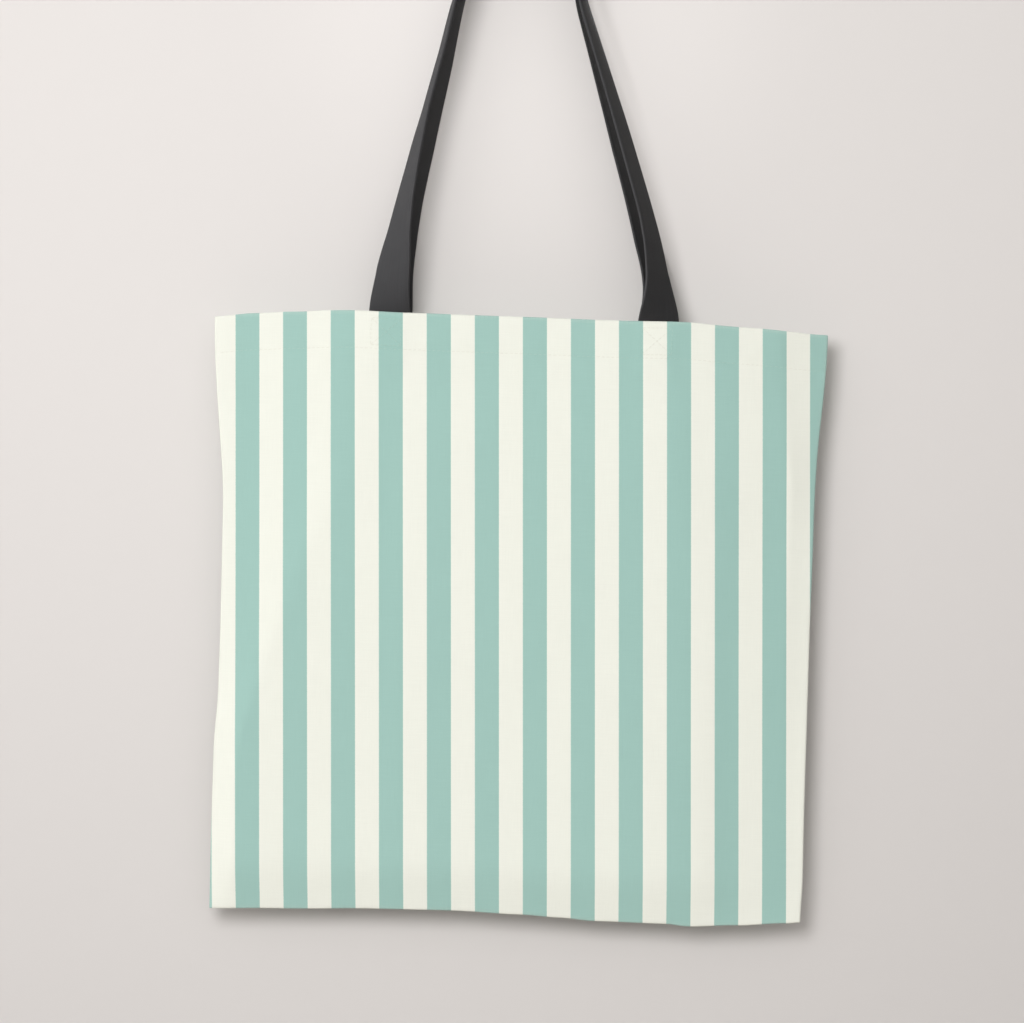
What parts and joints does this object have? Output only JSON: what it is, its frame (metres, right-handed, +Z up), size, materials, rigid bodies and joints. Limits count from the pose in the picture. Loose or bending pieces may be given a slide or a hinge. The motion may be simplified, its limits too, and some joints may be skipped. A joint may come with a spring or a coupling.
{
  "type": "canvas tote bag",
  "caption": "Flat striped canvas tote bag with two long webbing handles, hanging by both loops, with turned-in hems, overlocked seams and a mouth that opens.",
  "frame": {"origin": "underside of the two handle loops at their top, midway between them, where a peg, hook or shoulder carries the bag", "axes": "+Z up, X across the bag, the front of the bag faces -Y"},
  "size_m": [0.382, 0.0532, 0.667],
  "materials": {
    "printed_canvas": "matte woven canvas printed with mint and cream stripes",
    "plain_canvas": "matte unprinted canvas",
    "handle_webbing": "matte charcoal cotton webbing with a soft sheen",
    "cream_thread": "matte polyester sewing thread"
  },
  "bodies": {
    "bag_back": {"back_panel": "printed_canvas", "back_hem": "printed_canvas", "back_hem_stitching": "cream_thread", "left_seam": "plain_canvas", "right_seam": "plain_canvas", "bottom_seam": "plain_canvas", "left_seam_overlock": "cream_thread", "right_seam_overlock": "cream_thread", "bottom_seam_overlock": "cream_thread", "back_left_strap_end": "handle_webbing", "back_right_strap_end": "handle_webbing", "back_left_tack": "cream_thread", "back_right_tack": "cream_thread"},
    "bag_front": {"front_panel": "printed_canvas", "front_hem": "printed_canvas", "front_hem_stitching": "cream_thread", "front_left_strap_end": "handle_webbing", "front_right_strap_end": "handle_webbing", "front_left_tack": "cream_thread", "front_right_tack": "cream_thread"},
    "front_handle": {"front_handle_strap": "handle_webbing"},
    "back_handle": {"back_handle_strap": "handle_webbing"}
  },
  "joints": [
    {"name": "mouth_open", "type": "hinge", "parent": "bag_back", "child": "bag_front", "pos_m": [0, -0.0015, -0.665], "axis": [1, 0, 0], "range_deg": [0, 6], "stiffness_Nm_per_rad": 0.6, "springref_deg": -8.59},
    {"name": "front_handle_swing", "type": "hinge", "parent": "bag_front", "child": "front_handle", "pos_m": [0, -0.015, -0.291], "axis": [1, 0, 0], "range_deg": [0, 170]},
    {"name": "back_handle_swing", "type": "hinge", "parent": "bag_back", "child": "back_handle", "pos_m": [0, 0.015, -0.291], "axis": [-1, 0, 0], "range_deg": [0, 170]}
  ]
}
